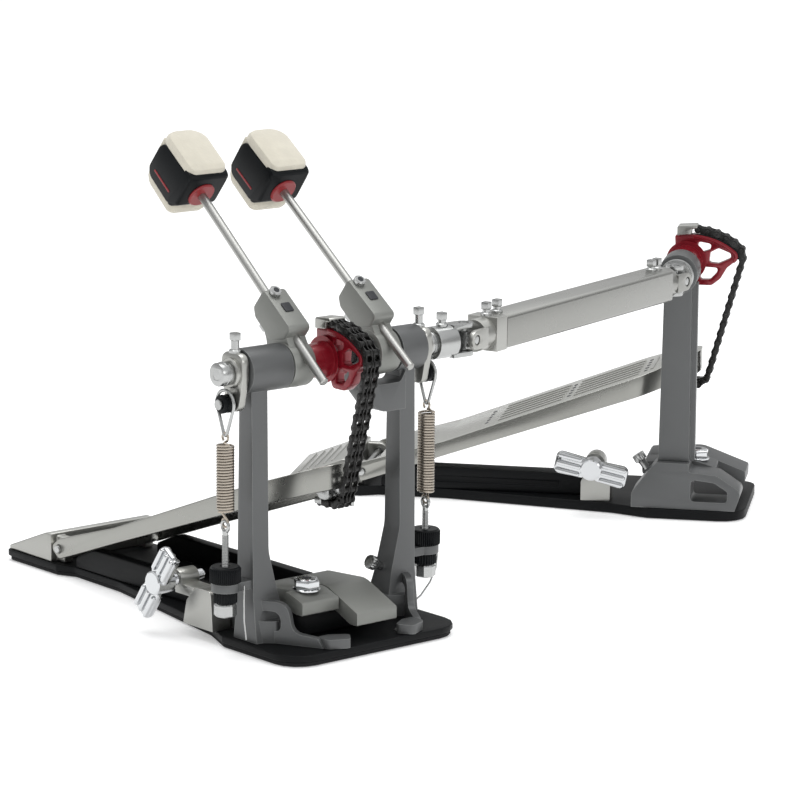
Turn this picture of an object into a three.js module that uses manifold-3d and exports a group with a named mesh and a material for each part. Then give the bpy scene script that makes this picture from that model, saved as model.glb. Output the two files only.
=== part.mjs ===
// A double bass drum pedal: a main pedal, a drive shaft with two universal joints, and a slave pedal.
// Millimetres. +Z is up, +Y points at the drum, +X is the player's right.
// The origin is on the floor, under the main axle, half way across the main base.
import * as THREE from "three";
import { mergeVertices } from "three/addons/utils/BufferGeometryUtils.js";
import Module from "manifold-3d";

const wasm = await Module();
wasm.setup();

// ---------------------------------------------------------------- driving dimensions
const GAP = 0.3; // between pieces that touch on the real object
const AXLE_Z = 200; // axle height above the floor
const AXLE_R = 5;
const BORE_R = AXLE_R + GAP; // a piece fixed on the axle
const BEARING_R = 6; // a bore that the axle turns in
const COLLAR_R = 7.5;

const HEEL_Y = -328; // heel end of the base
const TOE_Y = 59; // drum end of the base
const HEEL_HALF = 50;
const TOE_HALF = 79;
const RAIL_BED_HALF = 43; // half width of the base just ahead of the heel
const RUBBER_T = 3;
const BASE_TOP = 8;
const BED = BASE_TOP + GAP; // where castings stand

const PIN_Y = -261; // heel hinge pin
const PIN_Z = 20;
const PIN_R = 3;
const BOARD_HALF = 47.5;
const BOARD_T = 4;
const KINK_Y = -192; // the footboard's slope changes here
const KINK_Z = 49;
const TIP_Y = 14.5; // the footboard's toe
const TIP_Z = 127.6;
const LIP_TOE = 18; // depth of the folded lip at the toe
const LIP_KINK = 12;

const POST_X = 67; // middle of each post
const POST_W = 14;
const HOUSING_R = 16;
const HOUSING_OUT = 79; // outer end of the bearing housings
const CAM_X = -1; // middle of the main chain
const CHAIN_W = 13;
const CROWN = [4.6, -33.9]; // middle of the shallow arc over the cam's top, ahead of and above the axle
const CROWN_R = 60; // chain centre line on that arc
const CHAIN_TOP = 87; // degrees on the crown where the chain starts
const NOSE_TURN = 51; // degrees where the crown runs into the round nose
const NOSE_R = 10; // chain centre line round the nose
const RIM_DROP = 4; // the cam's rim below the chain's centre line
const RIM_T = 4.6;
const CHAIN_HALF_T = 2.8; // plain stand-in for the chain's thickness
const CHAIN_PIVOT = 34; // degrees on the nose: the link that the hanging run turns on
const CHAIN_SPLIT = 15; // degrees left free below that link
const CHAIN_END_Y = 20; // lower end of the chain, ahead of the toe
const CHAIN_END_Z = 105;

const MAIN_BEATER_X = 33;
const SECOND_BEATER_X = -45;
const MAIN_BEATER_LEAN = 50.4; // degrees back from vertical at rest
const SECOND_BEATER_LEAN = 52.9;
const ROD_R = 3.2;
const ROD_OUT = 16.5; // from the axle's axis to the beater rod's axis
const ROD_LOW = -32.7;
const ROD_HIGH = 172;
const HEAD_LOW = 147; // beater head, measured along the rod
const HEAD_LONG = 47;
const HEAD_WIDE = 36;
const HEAD_THICK = 44;
const FELT_T = 9;

const SPRING_X = 91.5;
const ROLLER_Z = 179;
const ROLLER_R = 6.5;
const LUG_LOW = 47;
const LUG_HIGH = 53;
const NUT_LOW = 53.4;
const NUT_HIGH = 64.5;
const COIL_R = 6.5;

const JOINT_X = -126; // centre of the first universal joint
const SLAVE_X = -508.2; // slave pedal's own origin
const SLAVE_Y = -154.3;
const SLAVE_YAW = 39.3; // degrees
const SLAVE_JOINT_X = 103; // second universal joint, from the slave's origin
const TUBE = 25; // side of the square drive shaft tube
const SLAVE_POST_X = 62;

const rad = THREE.MathUtils.degToRad;

// ---------------------------------------------------------------- solids
function solid(geometry) {
  const bare = geometry.index ? geometry.toNonIndexed() : geometry.clone();
  bare.deleteAttribute("normal");
  bare.deleteAttribute("uv");
  const merged = mergeVertices(bare, 1e-4);
  return new wasm.Manifold(
    new wasm.Mesh({
      numProp: 3,
      vertProperties: merged.attributes.position.array,
      triVerts: new Uint32Array(merged.index.array),
    }),
  );
}

function placed(geometry, matrix) {
  return solid(geometry.applyMatrix4(matrix));
}

function box(x0, x1, y0, y1, z0, z1) {
  const shape = new THREE.BoxGeometry(x1 - x0, y1 - y0, z1 - z0);
  return placed(shape, new THREE.Matrix4().makeTranslation((x0 + x1) / 2, (y0 + y1) / 2, (z0 + z1) / 2));
}

// A cylinder along X from x0 to x1, centred on (y, z).
function rodX(r, x0, x1, y, z, sides = 24) {
  const shape = new THREE.CylinderGeometry(r, r, x1 - x0, sides);
  const turn = new THREE.Matrix4().makeRotationZ(-Math.PI / 2);
  return placed(shape, turn.premultiply(new THREE.Matrix4().makeTranslation((x0 + x1) / 2, y, z)));
}

// A cylinder along Y.
function rodY(r, y0, y1, x, z, sides = 16) {
  const shape = new THREE.CylinderGeometry(r, r, y1 - y0, sides);
  return placed(shape, new THREE.Matrix4().makeTranslation(x, (y0 + y1) / 2, z));
}

// A cylinder along Z.
function rodZ(r, z0, z1, x, y, sides = 16) {
  const shape = new THREE.CylinderGeometry(r, r, z1 - z0, sides);
  const turn = new THREE.Matrix4().makeRotationX(Math.PI / 2);
  return placed(shape, turn.premultiply(new THREE.Matrix4().makeTranslation(x, y, (z0 + z1) / 2)));
}

// The outline through corners [a, b, radius], each rounded by its radius.
function rounded(corners, steps = 4) {
  const out = [];
  corners.forEach(([a, b, r = 0], i) => {
    const here = new THREE.Vector2(a, b);
    if (r === 0) {
      out.push(here);
      return;
    }
    const before = corners.at(i - 1);
    const after = corners[(i + 1) % corners.length];
    const u = new THREE.Vector2(before[0], before[1]).sub(here).normalize();
    const v = new THREE.Vector2(after[0], after[1]).sub(here).normalize();
    const half = Math.acos(u.dot(v)) / 2;
    const centre = here.clone().addScaledVector(u.clone().add(v).normalize(), r / Math.sin(half));
    const from = here.clone().addScaledVector(u, r / Math.tan(half)).sub(centre).angle();
    const to = here.clone().addScaledVector(v, r / Math.tan(half)).sub(centre).angle();
    const sweep = ((to - from + 3 * Math.PI) % (2 * Math.PI)) - Math.PI;
    for (let k = 0; k <= steps; k += 1) {
      const angle = from + (sweep * k) / steps;
      out.push(new THREE.Vector2(centre.x + r * Math.cos(angle), centre.y + r * Math.sin(angle)));
    }
  });
  return out;
}

// Points on an arc about the origin, from one angle to another, in degrees.
function arc(r, from, to, steps) {
  return Array.from({ length: steps + 1 }, (_, k) => {
    const angle = rad(from + ((to - from) * k) / steps);
    return new THREE.Vector2(r * Math.cos(angle), r * Math.sin(angle));
  });
}

function extruded(outline, depth, basis) {
  const shape = new THREE.Shape(outline);
  return placed(new THREE.ExtrudeGeometry(shape, { depth, bevelEnabled: false }), basis);
}

const X = new THREE.Vector3(1, 0, 0);
const Y = new THREE.Vector3(0, 1, 0);
const Z = new THREE.Vector3(0, 0, 1);

// A (y, z) outline drawn out along X.
function prismX(outline, x0, x1) {
  return extruded(outline, x1 - x0, new THREE.Matrix4().makeBasis(Y, Z, X).setPosition(x0, 0, 0));
}

// An (x, z) outline drawn out along Y.
function prismY(outline, y0, y1) {
  const basis = new THREE.Matrix4().makeBasis(X, Z, Y.clone().negate()).setPosition(0, y1, 0);
  return extruded(outline, y1 - y0, basis);
}

// An (x, y) outline drawn out along Z.
function prismZ(outline, z0, z1) {
  return extruded(outline, z1 - z0, new THREE.Matrix4().makeTranslation(0, 0, z0));
}

const join = (first, ...rest) => rest.reduce((a, b) => a.add(b), first);
const cut = (first, ...rest) => rest.reduce((a, b) => a.subtract(b), first);
const common = (a, b) => a.intersect(b);

// ---------------------------------------------------------------- materials and scene graph
const colours = {
  casting: [0x5f6366, 0.45, 0.8],
  black: [0x17191b, 0.6, 0.1],
  rubber: [0x101112, 0.9, 0],
  silver: [0xc9cac6, 0.3, 0.95],
  chrome: [0xe6e7e8, 0.12, 1],
  steel: [0x9a9792, 0.35, 0.95],
  red: [0xa8142a, 0.35, 0.6],
  felt: [0xe2d9c6, 0.95, 0],
  chain: [0x1c1b1a, 0.4, 0.8],
};

const pedal = new THREE.Group();
const slave = new THREE.Group();
slave.position.set(SLAVE_X, SLAVE_Y, 0);
slave.rotation.z = rad(SLAVE_YAW);
pedal.add(slave);

function add(group, name, shape, finish) {
  const made = shape.getMesh();
  const geometry = new THREE.BufferGeometry();
  geometry.setAttribute("position", new THREE.BufferAttribute(new Float32Array(made.vertProperties), 3));
  geometry.setIndex(new THREE.BufferAttribute(new Uint32Array(made.triVerts), 1));
  const [color, roughness, metalness] = colours[finish];
  const mesh = new THREE.Mesh(geometry, new THREE.MeshStandardMaterial({ color, roughness, metalness }));
  mesh.name = name;
  group.add(mesh);
}

// ---------------------------------------------------------------- base, rails and heel
const mirrored = (points) => points.map(([x, y, r]) => [-x, y, r]).reverse();

// One long edge of a base, heel to toe, on the +X side.
function flaredEdge(inset) {
  return [
    [HEEL_HALF - inset, HEEL_Y + inset, 6],
    [HEEL_HALF - inset, PIN_Y, 3],
    [RAIL_BED_HALF - inset, PIN_Y + 14, 8],
    [RAIL_BED_HALF + 1 - inset, -190, 60],
    [RAIL_BED_HALF + 24 - inset, -50, 30],
    [TOE_HALF - inset, -20, 4],
    [TOE_HALF - inset, TOE_Y - inset, 22 - inset],
  ];
}

function straightEdge(inset) {
  return [
    [HEEL_HALF - inset, HEEL_Y + inset, 6],
    [HEEL_HALF - inset, PIN_Y, 3],
    [RAIL_BED_HALF - inset, PIN_Y + 14, 8],
    [RAIL_BED_HALF - inset, TOE_Y - inset, 14],
  ];
}

function baseSlab(leftEdge, inset, z0, z1) {
  return prismZ(rounded([...flaredEdge(inset), ...mirrored(leftEdge(inset))]), z0, z1);
}

function heelBlock() {
  const wedge = rounded([
    [HEEL_Y + 3, BED],
    [HEEL_Y + 3, BED + 3, 1.5],
    [PIN_Y - 16, 30, 5],
    [PIN_Y - 9.5, 30],
    [PIN_Y - 9.5, BED],
  ]);
  const ears = [-1, 1].map((side) => {
    const x0 = side < 0 ? -42 : 34;
    const arm = box(x0, x0 + 8, PIN_Y - 12, PIN_Y, BED, 27.5);
    return join(arm, rodX(7.5, x0, x0 + 8, PIN_Y, PIN_Z, 20));
  });
  const below = box(-60, 60, PIN_Y - 20, PIN_Y + 20, 0, BED);
  return cut(join(prismX(wedge, -48, 48), ...ears), rodX(PIN_R + GAP, -60, 60, PIN_Y, PIN_Z, 16), below);
}

function hingePin() {
  return rodX(PIN_R, -BOARD_HALF - 2, BOARD_HALF + 2, PIN_Y, PIN_Z, 16);
}

function rail(x0, x1, top, end) {
  const side = rounded([
    [PIN_Y + 16, BED],
    [PIN_Y + 16, Math.min(16, top - 4), 3],
    [-222, top, 12],
    [end, top, 3],
    [end, BED],
  ]);
  return prismX(side, x0, x1);
}

// ---------------------------------------------------------------- footboard
function toePlan(inset) {
  const half = BOARD_HALF - inset;
  const rear = inset > 0 ? PIN_Y - 30 : PIN_Y - 9;
  return rounded(
    [
      [half, rear],
      [half, TIP_Y - 46, 34],
      [18, TIP_Y - inset, 26],
      [-18, TIP_Y - inset, 26],
      [-half, TIP_Y - 46, 34],
      [-half, rear],
    ],
    6,
  );
}

function footboard() {
  const side = rounded([
    [PIN_Y - 8, PIN_Z - 2, 2],
    [PIN_Y, PIN_Z - 8, 5],
    [KINK_Y, KINK_Z - LIP_KINK],
    [TIP_Y, TIP_Z - LIP_TOE],
    [TIP_Y, TIP_Z],
    [KINK_Y, KINK_Z, 40],
    [PIN_Y, PIN_Z + 8, 6],
    [PIN_Y - 8, PIN_Z + 2, 2],
  ]);
  const under = [
    new THREE.Vector2(PIN_Y - 30, 0),
    new THREE.Vector2(TIP_Y + 10, 0),
    new THREE.Vector2(TIP_Y + 10, TIP_Z - BOARD_T + 3.8),
    new THREE.Vector2(KINK_Y, KINK_Z - BOARD_T),
    new THREE.Vector2(PIN_Y + 14, KINK_Z - BOARD_T - 17.5),
    new THREE.Vector2(PIN_Y + 12, 60),
    new THREE.Vector2(PIN_Y - 30, 60),
  ];
  const outer = common(prismZ(toePlan(0), 0, 160), prismX(side, -BOARD_HALF, BOARD_HALF));
  const hollow = common(prismZ(toePlan(BOARD_T), 0, 160), prismX(under, -BOARD_HALF, BOARD_HALF));
  return cut(outer, hollow, rodX(PIN_R + GAP, -60, 60, PIN_Y, PIN_Z, 16));
}

// The bracket under the toe that the chain hooks on.
function toeAnchor(x) {
  const slope = (TIP_Z - KINK_Z) / (TIP_Y - KINK_Y);
  const ceiling = (y) => TIP_Z - BOARD_T - GAP - (TIP_Y - y) * slope - 0.6;
  const side = rounded([
    [-10, ceiling(-10)],
    [-10, 108, 2],
    [-1, 100, 3],
    [8.5, 100, 3],
    [8.5, ceiling(8.5)],
  ]);
  return prismX(side, x - 8, x + 8);
}

// ---------------------------------------------------------------- cam and chain
function shifted(points, y, z) {
  return points.map((p) => new THREE.Vector2(p.x + y, p.y + z));
}

function crown(r, from, to, steps) {
  return shifted(arc(r, from, to, steps), CROWN[0], CROWN[1]);
}

// The middle of the nose: the crown and the nose touch where they meet.
function noseCentre() {
  const reach = CROWN_R - NOSE_R;
  const turn = rad(NOSE_TURN);
  return [CROWN[0] + reach * Math.cos(turn), CROWN[1] + reach * Math.sin(turn)];
}

function nose(r, from, to, steps) {
  const [y, z] = noseCentre();
  return shifted(arc(r, from, to, steps), y, z);
}

function atAxle(points) {
  return shifted(points, 0, AXLE_Z);
}

function corners(points) {
  return points.map((p) => [p.x, p.y]);
}

// The cam seen from the side: a horn behind, the crown, the nose, and a lobe that runs back under the hub.
function cam(x, hubOut) {
  const half = CHAIN_W / 2;
  const rim = CROWN_R - RIM_DROP;
  const body = rounded([
    [-10, 21],
    ...corners(crown(rim, 92, NOSE_TURN, 8)),
    ...corners(nose(NOSE_R - RIM_DROP, NOSE_TURN, -70, 8)),
    [33.2, -4.8, 5],
    [28, -14, 6],
    [21, -19.7, 6],
    [8, -19.7, 4],
    [4, -10],
    [-9, -6],
    [-9, 6],
  ]);
  const pocket = rounded([
    ...corners(arc(13, -52, 64, 6)),
    ...corners(crown(rim - RIM_T, 85, 56, 5)),
    [38, 4.5, 3],
    [30, -3, 3],
    [24.5, -10.5, 4],
    [19, -15, 3],
    [12, -15.2, 2],
  ]);
  const solid = prismX(atAxle(body), x - half, x + half);
  const hollow = prismX(atAxle(pocket), x - half - 1, x + half + 1);
  const ribs = [34, -8].map((turn) => common(camRib(x, half - 1, turn), solid));
  const hub = rodX(14, x - half - 2, x + hubOut, 0, AXLE_Z);
  return cut(join(cut(solid, hollow), ...ribs, hub), rodX(BORE_R, x - 40, x + 60, 0, AXLE_Z));
}

// A thin web from the cam's hub to its rim.
function camRib(x, half, turn) {
  return box(x - half, x + half, 11, 38, -1.2, 1.2).rotate([turn, 0, 0]).translate([0, 0, AXLE_Z]);
}

function chainWrap(x) {
  const inner = crown(CROWN_R - CHAIN_HALF_T, NOSE_TURN, CHAIN_TOP, 7);
  const outer = crown(CROWN_R + CHAIN_HALF_T, CHAIN_TOP, NOSE_TURN, 7);
  return prismX(atAxle([...inner, ...outer]), x - CHAIN_W / 2, x + CHAIN_W / 2);
}

// The run that hangs from the nose to the toe: a short arc, then a straight line.
function chainRun(x) {
  const [noseY, noseZ] = noseCentre();
  const end = new THREE.Vector2(CHAIN_END_Y - noseY, CHAIN_END_Z - AXLE_Z - noseZ);
  const leave = THREE.MathUtils.radToDeg(Math.atan2(end.y, end.x) + Math.acos(NOSE_R / end.length()));
  const top = CHAIN_PIVOT - CHAIN_SPLIT;
  const side = new THREE.Vector2(Math.cos(rad(leave)), Math.sin(rad(leave))).multiplyScalar(CHAIN_HALF_T);
  const outline = [
    ...arc(NOSE_R - CHAIN_HALF_T, top, leave, 5),
    end.clone().sub(side),
    end.clone().add(side),
    ...arc(NOSE_R + CHAIN_HALF_T, leave, top, 5),
  ];
  return prismX(atAxle(shifted(outline, noseY, noseZ)), x - CHAIN_W / 2, x + CHAIN_W / 2);
}

// ---------------------------------------------------------------- posts
// A post on the +X side: tapered, flared by flare on its inner side and by splay ahead and behind,
// with a bearing housing on top.
function post(x, housing, depthTop, depthFoot, footZ, flare, splay) {
  const out = x + POST_W / 2;
  const inn = x - POST_W / 2;
  const innerFoot = [
    [inn, 72, 30],
    [inn - flare + 2, footZ + 12, 16],
    [inn - flare, footZ],
  ];
  const front = rounded([
    [out, footZ],
    [out, AXLE_Z],
    [inn, AXLE_Z],
    ...(flare > 0 ? innerFoot : [[inn, footZ]]),
  ]);
  const side = rounded([
    [-depthFoot / 2 - splay, footZ],
    [-depthFoot / 2, footZ + 8 * splay, 10],
    [-depthTop / 2, AXLE_Z],
    [depthTop / 2, AXLE_Z],
    [depthFoot / 2, footZ + 8 * splay, 10],
    [depthFoot / 2 + splay, footZ],
  ]);
  const shaft = common(prismY(front, -40, 40), prismX(side, inn - 20, out));
  return join(shaft, rodX(HOUSING_R, housing[0], housing[1], 0, AXLE_Z));
}

function springLug() {
  const arm = box(POST_X + 4, SPRING_X, -7, 7, LUG_LOW, LUG_HIGH);
  return cut(join(arm, rodZ(10, LUG_LOW, LUG_HIGH, SPRING_X, 0, 20)), rodZ(3, 40, 60, SPRING_X, 0));
}

// The foot of a main post: a pad behind the post, and an arched arm that ends in a tab ahead of it.
function foot() {
  const pad = rounded([
    [POST_X - 23, -44, 6],
    [POST_X - 9, -44, 6],
    [POST_X - 6, -22, 6],
    [POST_X + 7, -6, 4],
    [POST_X + 7, 8, 4],
    [POST_X - 6, 20, 6],
    [POST_X - 23, 10, 6],
  ]);
  const armLong = 59;
  const arch = rounded([
    [-4, BED],
    [-4, 38],
    [28, 38, 10],
    [32, 17, 8],
    [armLong - 8, 15, 4],
    [armLong - 4, BED],
  ]);
  const window = rounded([
    [4, 17, 4],
    [23, 17, 4],
    [23, 31, 6],
    [4, 31, 6],
  ]);
  const arm = cut(prismX(arch, -5, 0), prismX(window, -10, 1));
  const turned = arm.rotate([0, 0, 28]).translate([POST_X + 4, 2, 0]);
  const tab = rounded([
    [44, 42, 3],
    [44, 54, 4],
    [29, 61, 3],
    [21, 50, 3],
    [34, 42, 3],
  ]);
  return join(prismZ(pad, BED, 24), turned, prismZ(tab, BED, 15));
}

// The cradle under the second beater hub, which carries the bearing where the two axles meet.
function cradle() {
  const outline = rounded([
    [POST_X - 4, 158],
    [38, 158, 16],
    [21.5, 178, 14],
    [21.5, AXLE_Z],
    [32.5, AXLE_Z],
    [32.5, 184, 3],
    [37, 178, 4],
    [POST_X - 9, 178, 4],
    [POST_X - 4, 186],
  ]);
  return join(prismY(outline, -9, 10), rodX(13, 21.5, 32.5, 0, AXLE_Z));
}

const flipX = (shape) => shape.mirror([1, 0, 0]);
const bearing = () => rodX(BEARING_R, -120, 120, 0, AXLE_Z);

function mainPost(housingFrom, ...extra) {
  const column = post(POST_X, [housingFrom, HOUSING_OUT], 13, 18, BED, 15, 4);
  const whole = join(column, foot(), springLug(), ...extra);
  return cut(whole, bearing(), rodZ(3, 40, 60, SPRING_X, 0));
}

// ---------------------------------------------------------------- axle fittings
function rocker() {
  const plate = rounded([
    [-7, ROLLER_Z, 5],
    [-12, AXLE_Z - 4, 6],
    [-12, AXLE_Z + 14, 7],
    [12, AXLE_Z + 14, 7],
    [12, AXLE_Z - 4, 6],
    [7, ROLLER_Z - 6, 6],
    [-7, ROLLER_Z - 6, 6],
  ]);
  const arm = prismX(plate, 80, 86);
  return cut(join(arm, rodX(2.8, 85, 98, 0, ROLLER_Z, 16)), rodX(BORE_R, 70, 90, 0, AXLE_Z));
}

function roller() {
  return cut(rodX(ROLLER_R, 86.6, 96.4, 0, ROLLER_Z, 20), rodX(2.8 + GAP, 80, 99, 0, ROLLER_Z, 16));
}

function springLink() {
  const loop = (r, apex) =>
    [...arc(r, -30, 210, 14), new THREE.Vector2(0, apex)].map((p) => new THREE.Vector2(p.x, p.y + ROLLER_Z));
  return prismX(loop(10.6, -22), SPRING_X - 1.3, SPRING_X + 1.3).subtract(
    prismX(loop(8.6, -18), SPRING_X - 2, SPRING_X + 2),
  );
}

function spring() {
  const coil = rodZ(COIL_R, 104, 151, SPRING_X, 0, 20);
  return join(coil, rodZ(1.5, 98.6, 104.2, SPRING_X, 0, 8), rodZ(1.5, 150.8, 156.6, SPRING_X, 0, 8));
}

function springRod() {
  const eye = cut(rodX(5, SPRING_X - 1.8, SPRING_X + 1.8, 0, 93, 20), rodX(2.4, 80, 100, 0, 93, 12));
  return join(eye, rodZ(2.5, 30, 89, SPRING_X, 0), rodZ(8, 39, LUG_LOW - GAP, SPRING_X, 0, 6));
}

function tensionNut() {
  return cut(rodZ(11, NUT_LOW, NUT_HIGH, SPRING_X, 0, 20), rodZ(2.5 + GAP, 40, 80, SPRING_X, 0));
}

// ---------------------------------------------------------------- beaters, in a frame whose Z runs up the rod
function beaterFrame(x, lean) {
  const frame = new THREE.Group();
  frame.position.set(x, 0, AXLE_Z);
  frame.rotation.x = rad(lean);
  pedal.add(frame);
  return frame;
}

function beaterHub() {
  const block = rounded([
    [4, 12],
    [4, 40, 5],
    [10, 48, 4],
    [26, 48, 4],
    [27, 8, 4],
    [14, 4],
  ]);
  const whole = join(rodX(HOUSING_R, -9.5, 9.5, 0, 0), prismX(block, -9.5, 9.5));
  const rodHole = rodZ(ROD_R + GAP, -40, 60, 0, ROD_OUT);
  return cut(whole, rodX(BORE_R, -20, 20, 0, 0), rodHole);
}

function beaterPart(y0, y1, hole) {
  const half = HEAD_WIDE / 2;
  const top = HEAD_LOW + HEAD_LONG;
  const face = rounded([
    [-half, HEAD_LOW, 6],
    [half, HEAD_LOW, 6],
    [half, top, 9],
    [-half, top, 9],
  ]);
  const side = rounded([
    [-HEAD_THICK / 2, HEAD_LOW + 4, 9],
    [-HEAD_THICK / 2 + 8, HEAD_LOW, 4],
    [HEAD_THICK / 2 - 8, HEAD_LOW, 4],
    [HEAD_THICK / 2, HEAD_LOW + 4, 9],
    [HEAD_THICK / 2, top, 9],
    [-HEAD_THICK / 2, top, 9],
  ]).map((p) => new THREE.Vector2(p.x + ROD_OUT, p.y));
  const whole = common(prismX(side, -half, half), prismY(face, -20, 60));
  const slice = common(whole, box(-40, 40, ROD_OUT + y0, ROD_OUT + y1, 0, 300));
  return hole ? cut(slice, rodZ(ROD_R + GAP, 100, ROD_HIGH + 1, 0, ROD_OUT)) : slice;
}

function beater(prefix, x, lean) {
  const frame = beaterFrame(x, lean);
  const core = HEAD_THICK / 2 - FELT_T;
  add(frame, prefix + "_beater_hub", beaterHub(), "casting");
  add(frame, prefix + "_beater_rod", rodZ(ROD_R, ROD_LOW, ROD_HIGH, 0, ROD_OUT), "chrome");
  add(frame, prefix + "_beater_core", beaterPart(-core, core, true), "black");
  add(frame, prefix + "_beater_felt_front", beaterPart(core + GAP, 40, false), "felt");
  add(frame, prefix + "_beater_felt_back", beaterPart(-40, -core - GAP, false), "felt");
}

// ---------------------------------------------------------------- hoop clamp and wing screw
const JAW_PIVOT_Y = -22;
const JAW_BOLT_X = 32;
const JAW_BOLT_Y = 16;

function prong(x0, x1, tipY, tipZ) {
  const side = rounded([
    [JAW_PIVOT_Y - 6, 28, 3],
    [14, 31],
    [tipY - 8, tipZ - 9],
    [tipY, tipZ - 9, 1],
    [tipY, tipZ, 2],
    [16, 42, 20],
    [JAW_PIVOT_Y - 6, 39, 4],
  ]);
  return prismX(side, x0, x1);
}

// A long central prong that grips the hoop, and a shorter one beside it that takes the bolt.
function clampJaw(low, middle, high, shoulder, longTip) {
  const web = box(low, shoulder, JAW_PIVOT_Y - 4, 8, 30, 39);
  const side = cut(prong(middle + 2, high, 32, 37), box(shoulder, high + 1, JAW_PIVOT_Y - 9, 13, 0, 60));
  return cut(join(web, prong(low, middle, longTip, 28), side), rodZ(5.4, 20, 60, JAW_BOLT_X, JAW_BOLT_Y));
}

function jawBolt() {
  const shank = rodZ(5, 28, 43, JAW_BOLT_X, JAW_BOLT_Y);
  return join(shank, rodZ(10, 42.3, 50, JAW_BOLT_X, JAW_BOLT_Y, 6));
}

const WING_Y = -75;
const WING_Z = 38.5;

function wingBracket() {
  const side = rounded([
    [-66, BED],
    [-62, 26, 5],
    [-51, 37, 5],
    [-34, 37, 4],
    [-32, BED],
  ]);
  const boss = rodX(7.5, 62, 78, WING_Y, WING_Z, 20);
  const tie = box(62, 78, WING_Y, -54, 29, 36);
  return cut(join(prismX(side, 62, 78), boss, tie), rodX(4 + GAP, 50, 90, WING_Y, WING_Z, 16));
}

function wingScrew(lean) {
  const bar = rounded([
    [-7, -30, 6],
    [7, -30, 6],
    [8.5, 0],
    [7, 30, 6],
    [-7, 30, 6],
    [-8.5, 0],
  ]);
  const lever = prismX(bar, 90, 99).rotate([lean, 0, 0]).translate([0, WING_Y, WING_Z]);
  return join(lever, rodX(4, 54, 91, WING_Y, WING_Z, 16));
}

// ---------------------------------------------------------------- drive shaft, in frames whose X runs away from the joint
function yoke(start, hubLong, acrossZ) {
  const hub = rodX(12, start, start + hubLong, 0, 0, 20);
  const ears = [-1, 1].map((side) => {
    const low = side < 0 ? -12 : 8.6;
    const arm = acrossZ ? box(0, start + 2, -7, 7, low, low + 3.4) : box(0, start + 2, low, low + 3.4, -7, 7);
    const tip = acrossZ ? rodZ(7, low, low + 3.4, 0, 0) : rodY(7, low, low + 3.4, 0, 0);
    return join(arm, tip);
  });
  const pinHole = acrossZ ? rodZ(3.9, -20, 20, 0, 0) : rodY(3.9, -20, 20, 0, 0);
  return cut(join(hub, ...ears), pinHole);
}

function cross() {
  const pins = join(rodZ(3, -11.6, 11.6, 0, 0, 12), rodY(3, -11.6, 11.6, 0, 0, 12));
  return join(box(-6, 6, -6, 6, -6, 6), pins);
}

// ---------------------------------------------------------------- main pedal
add(pedal, "main_rubber_underlay", baseSlab(flaredEdge, 1.5, 0, RUBBER_T), "rubber");
add(pedal, "main_base_plate", baseSlab(flaredEdge, 0, RUBBER_T + GAP, BASE_TOP), "black");
add(pedal, "main_rail_right", rail(33, RAIL_BED_HALF, 26, -66), "black");
add(pedal, "main_rail_left", rail(-RAIL_BED_HALF, -33, 26, -66), "black");
add(pedal, "main_heel_plate", heelBlock(), "silver");
add(pedal, "main_hinge_pin", hingePin(), "steel");
add(pedal, "main_pillar_right", mainPost(43.5), "casting");
add(pedal, "main_pillar_left", flipX(mainPost(56, cradle())), "casting");
const crossPlan = rounded([[-42, -40, 8], [42, -40, 8], [42, 18, 8], [-42, 18, 8]]);
add(pedal, "main_cross_casting", prismZ(crossPlan, BED, 25), "casting");
add(pedal, "main_clamp_jaw", clampJaw(-22, 14, 48.5, 43, 50), "casting");
add(pedal, "main_jaw_bolt", jawBolt(), "chrome");
add(pedal, "main_wing_bracket", wingBracket(), "silver");
add(pedal, "main_wing_screw", wingScrew(-35), "chrome");
add(pedal, "main_footboard", footboard(), "silver");
add(pedal, "main_toe_anchor", toeAnchor(CAM_X), "steel");

add(pedal, "main_axle", join(rodX(AXLE_R, -26, 99, 0, AXLE_Z), rodX(COLLAR_R, 86.6, 99, 0, AXLE_Z)), "steel");
add(pedal, "main_cam", cam(CAM_X, 22), "red");
add(pedal, "main_chain_wrap", chainWrap(CAM_X), "chain");
add(pedal, "main_chain_run", chainRun(CAM_X), "chain");

[
  ["main", (shape) => shape],
  ["secondary", flipX],
].forEach(([prefix, side]) => {
  add(pedal, prefix + "_rocker_arm", side(rocker()), "silver");
  add(pedal, prefix + "_spring_roller", side(roller()), "black");
  add(pedal, prefix + "_spring_link", side(springLink()), "steel");
  add(pedal, prefix + "_spring", side(spring()), "steel");
  add(pedal, prefix + "_spring_rod", side(springRod()), "steel");
  add(pedal, prefix + "_tension_nut", side(tensionNut()), "black");
});

beater("main", MAIN_BEATER_X, MAIN_BEATER_LEAN);
beater("secondary", SECOND_BEATER_X, SECOND_BEATER_LEAN);

// ---------------------------------------------------------------- second axle and drive shaft
const firstJoint = new THREE.Vector3(JOINT_X, 0, AXLE_Z);
const secondJoint = new THREE.Vector3(SLAVE_JOINT_X, 0, AXLE_Z)
  .applyAxisAngle(Z, rad(SLAVE_YAW))
  .add(new THREE.Vector3(SLAVE_X, SLAVE_Y, 0));
const span = secondJoint.clone().sub(firstJoint);
const shaftLong = span.length();
const CLAMP_END = 40; // drum-side clamp block of the drive shaft

const firstYoke = yoke(13, 18.4, true).translate([JOINT_X, 0, AXLE_Z]);
const secondAxle = join(rodX(AXLE_R, JOINT_X + 30, -27, 0, AXLE_Z), rodX(COLLAR_R, -96, -86.6, 0, AXLE_Z));
add(pedal, "secondary_axle", join(firstYoke, secondAxle), "steel");

const shaftFrame = new THREE.Group();
shaftFrame.position.copy(firstJoint);
shaftFrame.rotation.z = Math.atan2(span.y, span.x);
pedal.add(shaftFrame);

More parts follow.
